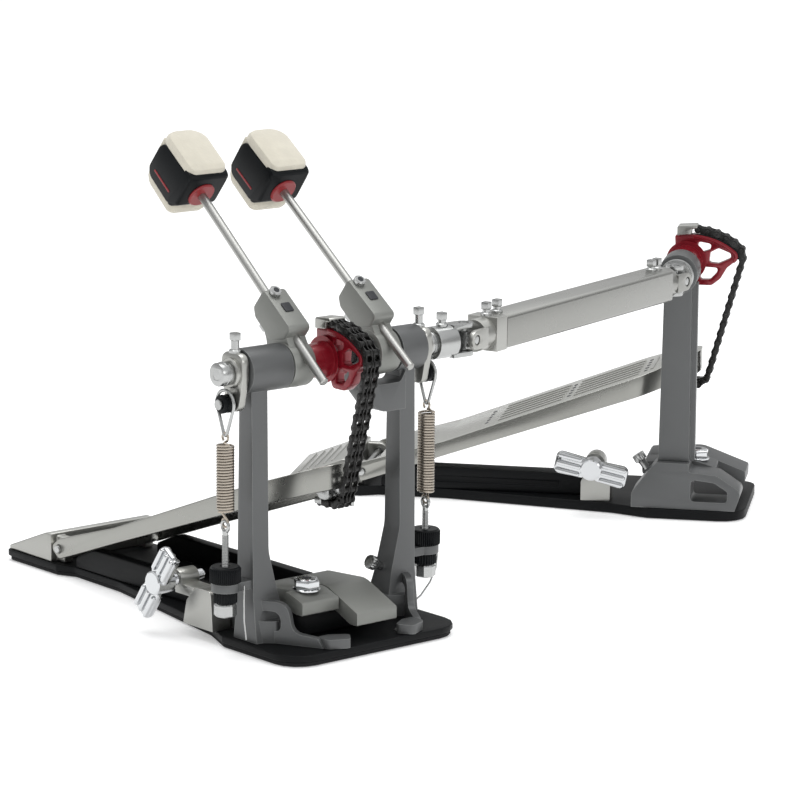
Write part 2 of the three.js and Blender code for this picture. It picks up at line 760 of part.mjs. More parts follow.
const halfTube = TUBE / 2;
const innerShaft = join(
  yoke(13, 14, false),
  box(26, CLAMP_END, -halfTube, halfTube, -halfTube, halfTube),
  rodX(6, CLAMP_END - 1, 235, 0, 0, 6),
);
const tubeOutline = rounded([
  [-halfTube, -halfTube, 3],
  [halfTube, -halfTube, 3],
  [halfTube, halfTube, 3],
  [-halfTube, halfTube, 3],
]);
const outerTube = cut(
  prismX(tubeOutline, CLAMP_END + 0.6, shaftLong - 25),
  rodX(6.6, 0, shaftLong - 34, 0, 0, 6),
);
const farYoke = yoke(13, 14, false).rotate([0, 0, 180]).translate([shaftLong, 0, 0]);
add(shaftFrame, "drive_shaft_inner", innerShaft, "silver");
add(shaftFrame, "drive_shaft_outer", join(outerTube, farYoke), "silver");
add(shaftFrame, "ujoint_cross_main", cross(), "steel");
add(shaftFrame, "ujoint_cross_slave", cross().translate([shaftLong, 0, 0]), "steel");

// ---------------------------------------------------------------- slave pedal
const SLAVE_CAST_TOP = 46;
const SLAVE_WING_Y = -65;
const SLAVE_WING_Z = 39.5;
const SLAVE_WING_SHIFT = -9.5; // the slave's wing screw sits this much closer in than the main one

// One bar along the outer side, with a long groove in its face.
function slaveRail() {
  return cut(rail(24, RAIL_BED_HALF, 26, -66), box(RAIL_BED_HALF - 1.5, 60, -214, -96, 14, 19));
}

function slaveCasting() {
  const side = rounded([
    [-33, BED],
    [-33, 20, 4],
    [-20, 38, 14],
    [-13, SLAVE_CAST_TOP, 2],
    [13, SLAVE_CAST_TOP, 2],
    [13, 39, 2],
    [36, 37, 8],
    [56, 24, 6],
    [51, BED],
  ]);
  const window = rounded([
    [15, 15, 3],
    [45, 15, 3],
    [45, 24, 4],
    [34, 31, 6],
    [15, 33, 3],
  ]);
  return cut(prismX(side, 46, 77), prismX(window, 40, 90));
}

function slavePost() {
  const foot = SLAVE_CAST_TOP + GAP;
  const column = post(SLAVE_POST_X, [46, 76], 22, 25, foot, 0, 0.5);
  const backRib = prismX(
    rounded([
      [9, foot],
      [9, AXLE_Z - 8],
      [15.5, AXLE_Z - 8],
      [16.5, foot],
    ]),
    SLAVE_POST_X - POST_W / 2 + 1,
    SLAVE_POST_X + 1,
  );
  return cut(join(column, backRib), bearing());
}

function slaveBracket() {
  const side = rounded([
    [SLAVE_WING_Y - 11, BED],
    [SLAVE_WING_Y - 11, 24, 4],
    [SLAVE_WING_Y - 6, 34, 3],
    [SLAVE_WING_Y + 8, 34, 3],
    [SLAVE_WING_Y + 13, 24, 4],
    [SLAVE_WING_Y + 13, BED],
  ]);
  const boss = rodX(8.5, 46, 62, SLAVE_WING_Y, SLAVE_WING_Z, 20);
  return cut(join(prismX(side, 44.5, 62), boss), rodX(4 + GAP, 30, 90, SLAVE_WING_Y, SLAVE_WING_Z, 16));
}

function slaveWing() {
  return wingScrew(78).translate([SLAVE_WING_SHIFT, SLAVE_WING_Y - WING_Y, SLAVE_WING_Z - WING_Z]);
}

add(slave, "slave_base_plate", baseSlab(straightEdge, 0, 0, BASE_TOP), "black");
add(slave, "slave_rail", slaveRail(), "black");
add(slave, "slave_heel_plate", heelBlock(), "silver");
add(slave, "slave_hinge_pin", hingePin(), "steel");
add(slave, "slave_footboard", footboard(), "silver");
add(slave, "slave_base_casting", slaveCasting(), "casting");
add(slave, "slave_post", slavePost(), "casting");
add(slave, "slave_clamp_jaw", clampJaw(-22, 14, 45.4, 43, 54), "casting");
add(slave, "slave_wing_bracket", slaveBracket(), "silver");
add(slave, "slave_wing_screw", slaveWing(), "chrome");
const slaveYoke = yoke(13, 13, true).rotate([0, 0, 180]).translate([SLAVE_JOINT_X, 0, AXLE_Z]);
const slaveShaft = rodX(AXLE_R, -14, SLAVE_JOINT_X - 20, 0, AXLE_Z);
add(slave, "slave_axle", join(slaveYoke, slaveShaft), "steel");
add(slave, "slave_cam", cam(0, 30), "red");
add(slave, "slave_chain_wrap", chainWrap(0), "chain");
add(slave, "slave_chain_run", chainRun(0), "chain");

export default pedal;
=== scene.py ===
"""Looks of the double bass drum pedal: fine pieces, materials, floor, light and camera.
Lengths in this file are millimetres until a piece is placed; the frames turn them into metres."""
import math

import bpy
from mathutils import Matrix, Vector
from mathutils.geometry import tessellate_polygon


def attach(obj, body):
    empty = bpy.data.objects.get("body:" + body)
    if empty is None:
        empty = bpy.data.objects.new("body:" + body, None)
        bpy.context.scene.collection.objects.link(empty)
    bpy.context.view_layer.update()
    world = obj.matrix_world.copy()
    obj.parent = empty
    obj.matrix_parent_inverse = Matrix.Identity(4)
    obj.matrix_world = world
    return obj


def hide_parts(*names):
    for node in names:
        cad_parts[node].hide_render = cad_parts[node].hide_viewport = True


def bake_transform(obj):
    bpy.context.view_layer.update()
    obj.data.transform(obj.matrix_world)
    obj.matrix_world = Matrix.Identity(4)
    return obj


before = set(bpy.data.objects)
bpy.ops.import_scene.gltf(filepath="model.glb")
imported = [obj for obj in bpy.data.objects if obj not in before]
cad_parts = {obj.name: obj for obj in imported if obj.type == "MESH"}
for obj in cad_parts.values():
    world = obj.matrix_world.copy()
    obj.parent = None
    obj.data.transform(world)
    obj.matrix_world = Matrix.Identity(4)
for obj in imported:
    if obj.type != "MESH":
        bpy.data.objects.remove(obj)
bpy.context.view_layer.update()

# ------------------------------------------------------------------ dimensions shared with the CAD model
AXLE_Z = 200
CHAIN_X = -1
CROWN = (4.6, -33.9)
CROWN_R = 60
NOSE_TURN = 51
NOSE_R = 10
RIM_DROP = 4
CHAIN_PIVOT = 34
CHAIN_END = (20, 105)
SPRING_X = 91.5
ROLLER_Z = 179
ROD_OUT = 16.5
ROD_R = 3.2
ROD_ENDS = (-32.7, 172)
HEAD_LOW = 147
HEAD_TOP = 194
MAIN_BEATER = (33, 50.4)
SECOND_BEATER = (-45, 52.9)
TUBE = 25
MAIN_JOINT_X = -126
SLAVE_JOINT_X = 103
SLAVE_AT = (-508.2, -154.3)
SLAVE_TURN = 39.3
WING = (-75, 38.5)
SLAVE_WING = (-65, 39.5)
CLAMP_BOLT = (32, 16)
PLATE_TOP = 8
HEEL_FRONT = (-277, 30)
HEEL_BACK = (-325, 11.3)
HINGE = (-261, 28)
KINK = (-192, 49)
TIP = (14.5, 127.6)

MM = Matrix.Scale(0.001, 4)
MAIN = MM
SLAVE = MM @ Matrix.Translation((*SLAVE_AT, 0)) @ Matrix.Rotation(math.radians(SLAVE_TURN), 4, "Z")
MAIN_JOINT = MAIN @ Vector((MAIN_JOINT_X, 0, AXLE_Z))
SLAVE_JOINT = SLAVE @ Vector((SLAVE_JOINT_X, 0, AXLE_Z))
ALONG_SHAFT = SLAVE_JOINT - MAIN_JOINT
SHAFT_TURN = math.atan2(ALONG_SHAFT.y, ALONG_SHAFT.x)
SHAFT = Matrix.Translation(MAIN_JOINT) @ Matrix.Rotation(SHAFT_TURN, 4, "Z") @ MM
SHAFT_LONG = ALONG_SHAFT.length * 1000


def beater_frame(x, lean):
    """The frame of a beater: its origin on the axle, its rod along Z."""
    turn = Matrix.Rotation(math.radians(lean), 4, "X")
    return Matrix.Translation((x / 1000, 0, AXLE_Z / 1000)) @ turn @ MM


def move(x, y, z):
    return Matrix.Translation((x, y, z))


def spin(degrees, axis):
    return Matrix.Rotation(math.radians(degrees), 4, axis)


# The directions that a lathe or a prism can be drawn out along. Each keeps right-handed axes.
ALONG_X = Matrix(((0, 0, 1, 0), (1, 0, 0, 0), (0, 1, 0, 0), (0, 0, 0, 1)))
ALONG_Y = Matrix(((1, 0, 0, 0), (0, 0, -1, 0), (0, 1, 0, 0), (0, 0, 0, 1)))
ALONG_Z = Matrix.Identity(4)
FORWARD = Matrix(((-1, 0, 0, 0), (0, 0, 1, 0), (0, 1, 0, 0), (0, 0, 0, 1)))


# ------------------------------------------------------------------ mesh making
def mesh_object(name, verts, faces):
    mesh = bpy.data.meshes.new(name)
    mesh.from_pydata([tuple(v) for v in verts], [], faces)
    mesh.update()
    obj = bpy.data.objects.new(name, mesh)
    bpy.context.scene.collection.objects.link(obj)
    return obj


def lathe(profile, place=ALONG_Z, sides=40):
    """Radius and height pairs turned about the local Z axis, closed at both ends."""
    verts, faces = [], []
    for r, h in profile:
        for k in range(sides):
            a = 2 * math.pi * k / sides
            verts.append(Vector((r * math.cos(a), r * math.sin(a), h)))
    for i in range(len(profile) - 1):
        for k in range(sides):
            n = (k + 1) % sides
            faces.append((i * sides + k, i * sides + n, (i + 1) * sides + n, (i + 1) * sides + k))
    faces.append(tuple(reversed(range(sides))))
    faces.append(tuple(range(len(verts) - sides, len(verts))))
    return [place @ v for v in verts], faces


def barrel(r, low, high, edge=0.5):
    """The profile of a round bar with chamfered ends."""
    return [(r - edge, low), (r, low + edge), (r, high - edge), (r - edge, high)]


def sweep(points, radius, sides=10, closed=False):
    """A round wire along points."""
    pts = [Vector(p) for p in points]
    count = len(pts)
    verts, faces = [], []
    normal = None
    for i, p in enumerate(pts):
        before = pts[i - 1] if (i or closed) else p
        after = pts[(i + 1) % count] if (i < count - 1 or closed) else p
        ahead = (after - before).normalized()
        if normal is None:
            normal = ahead.orthogonal().normalized()
        normal = (normal - ahead * normal.dot(ahead)).normalized()
        side = ahead.cross(normal)
        for k in range(sides):
            a = 2 * math.pi * k / sides
            verts.append(p + radius * (math.cos(a) * normal + math.sin(a) * side))
    for i in range(count if closed else count - 1):
        j = (i + 1) % count
        for k in range(sides):
            n = (k + 1) % sides
            faces.append((i * sides + k, i * sides + n, j * sides + n, j * sides + k))
    if not closed:
        faces.append(tuple(reversed(range(sides))))
        faces.append(tuple(range(len(verts) - sides, len(verts))))
    return verts, faces


SAME_POINT = 0.02
LEAST_TURN = 0.2
LEAST_SHARE = 0.6


def tidy(outline, anticlockwise):
    """The outline without repeated points, running the way that is asked."""
    points = [Vector(p) for i, p in enumerate(outline) if math.dist(p, outline[i - 1]) > SAME_POINT]
    area = sum(a.x * b.y - b.x * a.y for a, b in zip(points, points[1:] + points[:1]))
    return points if (area > 0) == anticlockwise else points[::-1]


def inset(points, distance):
    """Each point moved towards the material, which is on the left of the outline.
    A point where the outline turns back on itself stays, and sharp corners move by a limited share."""
    out = []
    for i, here in enumerate(points):
        before = (here - points[i - 1]).normalized()
        after = (points[(i + 1) % len(points)] - here).normalized()
        left = Vector((-before.y - after.y, before.x + after.x))
        if left.length < LEAST_TURN:
            out.append(here)
            continue
        left.normalize()
        share = max(LEAST_SHARE, -left.x * before.y + left.y * before.x)
        out.append(here + left * distance / share)
    return out


def prism(outlines, low, high, place=ALONG_Z, bevel=0.6):
    """Outlines, the first one outside and the rest holes, drawn out from low to high with rounded edges."""
    loops = [tidy(outline, i == 0) for i, outline in enumerate(outlines)]
    quarter = [(1 - math.sin(t), 1 - math.cos(t)) for t in (0, math.pi / 4, math.pi / 2)]
    levels = [(bevel * side, low + bevel * rise) for side, rise in quarter]
    levels += [(bevel * side, high - bevel * rise) for side, rise in reversed(quarter)]
    verts, faces = [], []
    for loop in loops:
        start, count = len(verts), len(loop)
        for distance, height in levels:
            verts += [Vector((p.x, p.y, height)) for p in inset(loop, distance)]
        for level in range(len(levels) - 1):
            for k in range(count):
                a, b = start + level * count + k, start + level * count + (k + 1) % count
                faces.append((a, b, b + count, a + count))
    flat = [[Vector((p.x, p.y, 0)) for p in inset(loop, bevel)] for loop in loops]
    floor_ring, lid_ring = [], []
    start = 0
    for loop in loops:
        floor_ring += range(start, start + len(loop))
        start += len(loop) * len(levels)
        lid_ring += range(start - len(loop), start)
    flat_points = [p for loop in flat for p in loop]
    for tri in tessellate_polygon(flat):
        a, b, c = (flat_points[i] for i in tri)
        upward = (b - a).cross(c - a).z > 0
        tri = tri if upward else tri[::-1]
        faces.append(tuple(lid_ring[i] for i in tri))
        faces.append(tuple(floor_ring[i] for i in reversed(tri)))
    return [place @ v for v in verts], faces


def moved(shape, matrix):
    """The shape under the matrix; a mirrored one keeps its faces outward."""
    verts, faces = shape
    flip = matrix.determinant() < 0
    return [matrix @ Vector(v) for v in verts], [tuple(reversed(f)) if flip else f for f in faces]


def together(*shapes):
    """Several shapes as one."""
    verts, faces = [], []
    for shape_verts, shape_faces in shapes:
        start = len(verts)
        verts += list(shape_verts)
        faces += [tuple(i + start for i in f) for f in shape_faces]
    return verts, faces


def arc(r, start, stop, steps, centre=(0, 0)):
    turns = [math.radians(start + (stop - start) * k / steps) for k in range(steps + 1)]
    return [(centre[0] + r * math.cos(a), centre[1] + r * math.sin(a)) for a in turns]


def circle(r, centre=(0, 0), steps=32):
    return arc(r, 0, 360 * (steps - 1) / steps, steps - 1, centre)


def rounded(corners, steps=6):
    """The outline through corners (a, b, radius)."""
    out = []
    for i, corner in enumerate(corners):
        here = Vector(corner[:2])
        r = corner[2] if len(corner) > 2 else 0
        if r == 0:
            out.append(tuple(here))
            continue
        u = (Vector(corners[i - 1][:2]) - here).normalized()
        v = (Vector(corners[(i + 1) % len(corners)][:2]) - here).normalized()
        half = u.angle(v) / 2
        centre = here + (u + v).normalized() * r / math.sin(half)
        first = here + u * r / math.tan(half) - centre
        last = here + v * r / math.tan(half) - centre
        start = math.atan2(first.y, first.x)
        turn = (math.atan2(last.y, last.x) - start + math.pi) % (2 * math.pi) - math.pi
        for k in range(steps + 1):
            a = start + turn * k / steps
            out.append((centre.x + r * math.cos(a), centre.y + r * math.sin(a)))
    return out


def slab(x0, x1, y0, y1, z0, z1, bevel=0.8, corner=1.5):
    """A block with rounded corners and edges."""
    face = rounded([(x0, y0, corner), (x1, y0, corner), (x1, y1, corner), (x0, y1, corner)])
    return prism([face], z0, z1, ALONG_Z, bevel)


def polygon(sides, r, first=0.0):
    turns = [2 * math.pi * k / sides + math.radians(first) for k in range(sides)]
    return [(r * math.cos(a), r * math.sin(a)) for a in turns]


# ------------------------------------------------------------------ modifiers
SMOOTH_ANGLE = 32
EDGE_ANGLE = 33
FLAT_ANGLE = 0.5
WELD_REACH = 1e-5


def smooth_group():
    """Smooth shading everywhere except along the sharper edges."""
    group = bpy.data.node_groups.new("smooth_by_angle", "GeometryNodeTree")
    group.interface.new_socket("Geometry", in_out="INPUT", socket_type="NodeSocketGeometry")
    group.interface.new_socket("Geometry", in_out="OUTPUT", socket_type="NodeSocketGeometry")
    nodes, links = group.nodes, group.links
    start, end = nodes.new("NodeGroupInput"), nodes.new("NodeGroupOutput")
    faces, edges = nodes.new("GeometryNodeSetShadeSmooth"), nodes.new("GeometryNodeSetShadeSmooth")
    angle, compare = nodes.new("GeometryNodeInputMeshEdgeAngle"), nodes.new("FunctionNodeCompare")
    edges.domain = "EDGE"
    compare.data_type = "FLOAT"
    compare.operation = "LESS_EQUAL"
    compare.inputs[1].default_value = math.radians(SMOOTH_ANGLE)
    links.new(angle.outputs["Unsigned Angle"], compare.inputs[0])
    links.new(start.outputs[0], faces.inputs["Geometry"])
    links.new(faces.outputs[0], edges.inputs["Geometry"])
    links.new(compare.outputs[0], edges.inputs["Shade Smooth"])
    links.new(edges.outputs[0], end.inputs[0])
    return group


SMOOTH = smooth_group()


def smooth(obj):
    obj.modifiers.new("smooth", "NODES").node_group = SMOOTH


def soften(node, width):
    """A CAD node keeps its mesh and gets rounded edges from modifiers; the width is in millimetres."""
    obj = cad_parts[node]
    obj.modifiers.new("weld", "WELD").merge_threshold = WELD_REACH
    flat = obj.modifiers.new("flat", "DECIMATE")
    flat.decimate_type = "DISSOLVE"
    flat.angle_limit = math.radians(FLAT_ANGLE)
    edge = obj.modifiers.new("edge", "BEVEL")
    edge.width = width / 1000
    edge.segments = 3
    edge.limit_method = "ANGLE"
    edge.angle_limit = math.radians(EDGE_ANGLE)
    edge.miter_outer = "MITER_ARC"
    edge.use_clamp_overlap = True
    smooth(obj)
    return obj


# ------------------------------------------------------------------ materials
WEAR_REACH = 0.0011
GRAIN_DEPTH = 0.0004


def new_node(tree, kind, inputs, **settings):
    """A shader node whose inputs hold a value or are linked to another node's output."""
    made = tree.nodes.new("ShaderNode" + kind)
    for name, value in settings.items():
        setattr(made, name, value)
    for name, value in inputs.items():
        if isinstance(value, bpy.types.NodeSocket):
            tree.links.new(value, made.inputs[name])
        else:
            made.inputs[name].default_value = value
    return made


def tinted(tree, color, amount, cloud):
    """The colour, darker and lighter by the amount where the cloud is."""
    dark = [c * (1 - amount) for c in color]
    light = [min(1, c * (1 + amount)) for c in color]
    tint = new_node(tree, "Mix", {"A": (*dark, 1), "B": (*light, 1), "Factor": cloud}, data_type="RGBA")
    return tint.outputs["Result"]


def worn(tree, colour, cloud, bare, amount):
    """The bare colour shows along the edges, where the bevelled normal leaves the true one."""
    bevel = new_node(tree, "Bevel", {"Radius": WEAR_REACH}, samples=4)
    true = new_node(tree, "NewGeometry", {})
    dot = new_node(tree, "VectorMath", {0: bevel.outputs["Normal"], 1: true.outputs["Normal"]},
                   operation="DOT_PRODUCT")
    mask = new_node(tree, "MapRange", {"From Min": 0.99, "From Max": 0.90, "To Max": amount,
                                       "Value": dot.outputs["Value"]})
    broken = new_node(tree, "Math", {0: mask.outputs["Result"], 1: cloud}, operation="MULTIPLY")
    mix = new_node(tree, "Mix", {"A": colour, "B": (*bare, 1), "Factor": broken.outputs["Value"]},
                   data_type="RGBA")
    return mix.outputs["Result"]


def painted_top_light(tree, colour, gain):
    """Painted top light: the colour is brighter by the gain on faces that look up, standing in for light from
    above.
    """
    true = new_node(tree, "NewGeometry", {})
    axes = new_node(tree, "SeparateXYZ", {0: true.outputs["Normal"]})
    scale = new_node(tree, "MapRange", {"From Min": 0.3, "From Max": 0.85, "To Min": 1, "To Max": gain,
                                        "Value": axes.outputs["Z"]})
    brighter = new_node(tree, "VectorMath", {0: colour, "Scale": scale.outputs["Result"]}, operation="SCALE")
    return brighter.outputs["Vector"]


def finish(name, color, metallic, roughness, grain=None, mottle=(30, 0), wear=None, top=None, **more):
    """A surface with soft variation, and fine grain, worn edges and painted top light where they are asked
    for.
    grain is (scale, bump), mottle (scale, amount), wear (colour, amount), top the gain of the painted light
    on upward faces."""
    mat = bpy.data.materials.new(name)
    mat.use_nodes = True
    tree = mat.node_tree
    shader = tree.nodes["Principled BSDF"]
    shader.inputs["Metallic"].default_value = metallic
    for socket, value in more.items():
        shader.inputs[socket.replace("_", " ")].default_value = value
    place = new_node(tree, "TexCoord", {}).outputs["Object"]
    cloud = new_node(tree, "TexNoise", {"Vector": place, "Scale": mottle[0], "Detail": 5}).outputs["Fac"]
    colour = tinted(tree, color, mottle[1], cloud)
    if wear:
        colour = worn(tree, colour, cloud, *wear)
    # Painted top light: faces that look up get a brighter colour.
    if top:
        colour = painted_top_light(tree, colour, top)
    tree.links.new(colour, shader.inputs["Base Color"])
    rough = new_node(tree, "MapRange", {"To Min": roughness * 0.8, "To Max": min(1, roughness * 1.2),
                                        "Value": cloud})
    tree.links.new(rough.outputs["Result"], shader.inputs["Roughness"])
    if grain:
        fine = new_node(tree, "TexNoise", {"Vector": place, "Scale": grain[0], "Detail": 3}).outputs["Fac"]
        bump = new_node(tree, "Bump", {"Strength": grain[1], "Distance": GRAIN_DEPTH, "Height": fine})
        tree.links.new(bump.outputs["Normal"], shader.inputs["Normal"])
    return mat


CASTING = finish(
    "satin_casting", (0.102, 0.105, 0.106), 0.35, 0.42, grain=(1400, 0.10), mottle=(22, 0.12),
    wear=((0.30, 0.31, 0.30), 0.8),
)
HUB_CASTING = finish(
    "pale_casting", (0.215, 0.22, 0.205), 0.45, 0.45, grain=(1400, 0.08), mottle=(30, 0.10),
    wear=((0.42, 0.42, 0.40), 0.7),
)
BLACK_COAT = finish(
    "black_powder_coat", (0.004, 0.0045, 0.005), 0.0, 0.46, grain=(1900, 0.2), mottle=(25, 0.25),
    wear=((0.05, 0.05, 0.055), 0.5), Specular_IOR_Level=0.13,
)
BLACK_PLASTIC = finish(
    "black_plastic", (0.004, 0.005, 0.006), 0.0, 0.38, grain=(2400, 0.08), mottle=(30, 0.2),
    Specular_IOR_Level=0.13,
)
RUBBER = finish(
    "rubber", (0.008, 0.008, 0.009), 0.0, 0.8, grain=(1200, 0.4), mottle=(40, 0.2), Specular_IOR_Level=0.3,
)
# Painted top light: top=1.5 makes upward faces brighter.
SILVER = finish(
    "satin_aluminium", (0.36, 0.36, 0.34), 0.9, 0.30, mottle=(14, 0.07),
    wear=((0.72, 0.72, 0.70), 0.5), top=1.5,
)
# Painted top light: top=2.1 makes the footboards' upward faces much brighter than their sides.
BRUSHED = finish(
    "brushed_aluminium", (0.30, 0.30, 0.28), 0.95, 0.27, mottle=(9, 0.10),
    wear=((0.62, 0.62, 0.59), 0.5), top=2.1,
)
# Painted top light: top=1.65 makes the tube's upward faces brighter.
TUBE_METAL = finish("drawn_tube", (0.30, 0.30, 0.285), 0.95, 0.27, mottle=(10, 0.08), top=1.65)
CHROME = finish("chrome", (0.58, 0.59, 0.60), 1.0, 0.12, mottle=(18, 0.04))
ROD_STEEL = finish("ground_rod", (0.40, 0.40, 0.385), 1.0, 0.38, mottle=(40, 0.06))
ZINC = finish("zinc_plate", (0.42, 0.425, 0.42), 0.95, 0.25, mottle=(60, 0.14))
SPRING_STEEL = finish("spring_steel", (0.40, 0.355, 0.30), 0.9, 0.28, grain=(1500, 0.04), mottle=(120, 0.12))
CRIMSON = finish(
    "crimson_anodised", (0.20, 0.003, 0.011), 0.3, 0.28, grain=(1200, 0.05), mottle=(30, 0.12),
    wear=((0.42, 0.03, 0.045), 0.7), Coat_Weight=0.2,
)
RED_PLASTIC = finish("red_plastic", (0.24, 0.008, 0.012), 0.0, 0.35, grain=(1500, 0.05), mottle=(60, 0.12))
CHAIN_STEEL = finish(
    "oiled_chain", (0.009, 0.0088, 0.0085), 0.4, 0.30, grain=(1800, 0.06), mottle=(160, 0.35),
    wear=((0.06, 0.058, 0.056), 0.9),
)
# Painted shade: a near-black colour for thin pieces set in holes, sockets and windows, where their insides
# lie in shade.
RECESS_SHADE = finish("painted_recess_shade", (0.006, 0.008, 0.012), 0.0, 0.5, grain=(1500, 0.05), mottle=(40, 0.2))
FELT = finish(
    "pressed_felt", (0.60, 0.565, 0.475), 0.0, 0.95, grain=(520, 1.0), mottle=(95, 0.12),
    Sheen_Weight=0.3, Sheen_Roughness=0.5,
)


# ------------------------------------------------------------------ pieces
def piece(name, shape, place, mat, body, replaces=()):
    """A shape as an object in the frame; one without a body is for a blend."""
    verts, faces = moved(shape, place)
    obj = mesh_object(name, verts, faces)
    obj.data.materials.append(mat)
    smooth(obj)
    if body:
        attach(obj, body)
    if replaces:
        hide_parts(*replaces)
    return obj


def thread(crest, root, low, pitch, turns):
    """The profile of a screw thread: a crest and a root for each turn."""
    rings = [[(crest, low + pitch * k), (root, low + pitch * (k + 0.5))] for k in range(turns)]
    return [point for ring in rings for point in ring]


def knurled(r, low, high, teeth, depth=0.55, bevel=0.3):
    """A round grip with teeth around it."""
    outline = []
    for k in range(teeth * 2):
        a = math.pi * k / teeth
        reach = r if k % 2 else r - depth
        outline.append((reach * math.cos(a), reach * math.sin(a)))
    return prism([outline], low, high, ALONG_Z, bevel)


def key_bolt(x, y, z, tall=9, foot=4.6):
    """A bolt with the square head that a drum key turns, standing on (x, y, z) along Z."""
    collar = lathe([(foot, 0), (foot, 1.6), (foot - 0.8, 2.4), (2.9, 2.4), (2.9, tall - 5.5)], sides=24)
    head = prism([polygon(4, 3.9, 45)], tall - 5.5, tall, ALONG_Z, 0.5)
    return moved(together(collar, head), move(x, y, z))


# ------------------------------------------------------------------ parts that keep their CAD shape
KEPT = {
    "main_rubber_underlay": (RUBBER, 0.5),
    "main_base_plate": (BLACK_COAT, 0.8),
    "main_rail_right": (BLACK_COAT, 1.2),
    "main_rail_left": (BLACK_COAT, 1.2),
    "main_heel_plate": (SILVER, 0.9),
    "main_hinge_pin": (ZINC, 0.4),
    "main_pillar_right": (CASTING, 1.1),
    "main_pillar_left": (CASTING, 1.1),
    "main_cross_casting": (BLACK_COAT, 2.0),
    "main_wing_bracket": (SILVER, 1.2),
    "main_axle": (ZINC, 0.5),
    "main_footboard": (BRUSHED, 0.9),
    "main_toe_anchor": (ZINC, 0.8),
    "main_clamp_jaw": (HUB_CASTING, 1.6),
    "secondary_axle": (ZINC, 0.7),
    "drive_shaft_inner": (SILVER, 0.8),
    "drive_shaft_outer": (TUBE_METAL, 0.9),
    "ujoint_cross_main": (ZINC, 0.6),
    "ujoint_cross_slave": (ZINC, 0.6),
    "slave_base_plate": (BLACK_COAT, 0.8),
    "slave_rail": (BLACK_COAT, 1.2),
    "slave_heel_plate": (SILVER, 0.9),
    "slave_hinge_pin": (ZINC, 0.4),
    "slave_base_casting": (CASTING, 1.4),
    "slave_post": (CASTING, 1.2),
    "slave_wing_bracket": (SILVER, 1.2),
    "slave_axle": (ZINC, 0.7),
    "slave_footboard": (BRUSHED, 0.9),
    "slave_clamp_jaw": (CASTING, 1.6),
}
for node, (mat, width) in KEPT.items():
    kept = soften(node, width)
    for material_slot in kept.material_slots:
        material_slot.material = mat


# ------------------------------------------------------------------ beaters
def crowned(shape, middle, half, fall):
    """The outer face of a felt pad falls away towards both ends of the head."""
    root, depth = 12, 11
    verts, faces = shape
    out = []
    for v in verts:
        share = max(0, (abs(v.y) - root) / depth)
        drop = fall * share * ((v.z - middle) / half) ** 2
        out.append(Vector((v.x, v.y - math.copysign(drop, v.y), v.z)))
    return out, faces


def beater_head(prefix, place):
    """A plastic shell with a felt pad in front and behind, red stripes on the cheeks and a red boss."""
    head = prefix + "_beater_head"
    on_rod = move(0, ROD_OUT, 0)
    low, top = HEAD_LOW, HEAD_TOP
    cheek = rounded([(-16, low + 10, 5), (-9.5, low + 0.3, 4), (14, low + 0.3, 4), (16.5, low + 5, 3),
                     (15, top - 6, 8), (-15.6, top - 6, 8)])
    tray = rounded([(-16.5, low + 6.5, 4), (-9.5, low, 4), (17, low, 3), (18.4, low + 4, 2),
                    (18.4, low + 10, 1.7), (-16.5, low + 10, 1.7)])
    cheeks = [prism([cheek], inner, inner + 3, ALONG_X, 1.3) for inner in (-17.6, 14.6)]
    core = together(*cheeks, prism([tray], -17.2, 17.2, ALONG_X, 1.6))
    piece(prefix + "_head_shell", moved(core, on_rod), place, BLACK_PLASTIC, head, [prefix + "_beater_core"])
    for side, wide, out, way in (("front", 16.9, 23.2, FORWARD), ("back", 16.2, 24.6, ALONG_Y)):
        near, far = low + 3, top - 1.1
        face = rounded([(-wide, near, 6), (wide, near, 6), (wide, far, 12), (-wide, far, 12)])
        backing = moved(slab(-14.4, 14.4, low + 10, top - 3, 0.2, 15, 0.8), way)
        pad = together(prism([face], 11.5, out, way, 4.4), backing)
        pad = crowned(pad, middle=low + 19, half=27, fall=3.4)
        felt = piece(f"{prefix}_felt_{side}_fine", moved(pad, on_rod), place, FELT, head,
                     [f"{prefix}_beater_felt_{side}"])
    stripes = [slab(-8.6, -7, low + 12, low + 34, out, out + 0.4, 0.12, 0.8) for out in (17.45, -17.85)]
    turned = [moved(stripe, on_rod @ ALONG_X) for stripe in stripes]
    piece(prefix + "_head_stripes", together(*turned), place, RED_PLASTIC, head)
    boss = lathe([(3.4, low - 1.6), (9.4, low - 1.6), (10.4, low - 0.7), (10.4, low + 1)])
    piece(prefix + "_head_boss", moved(boss, on_rod), place, RED_PLASTIC, head)


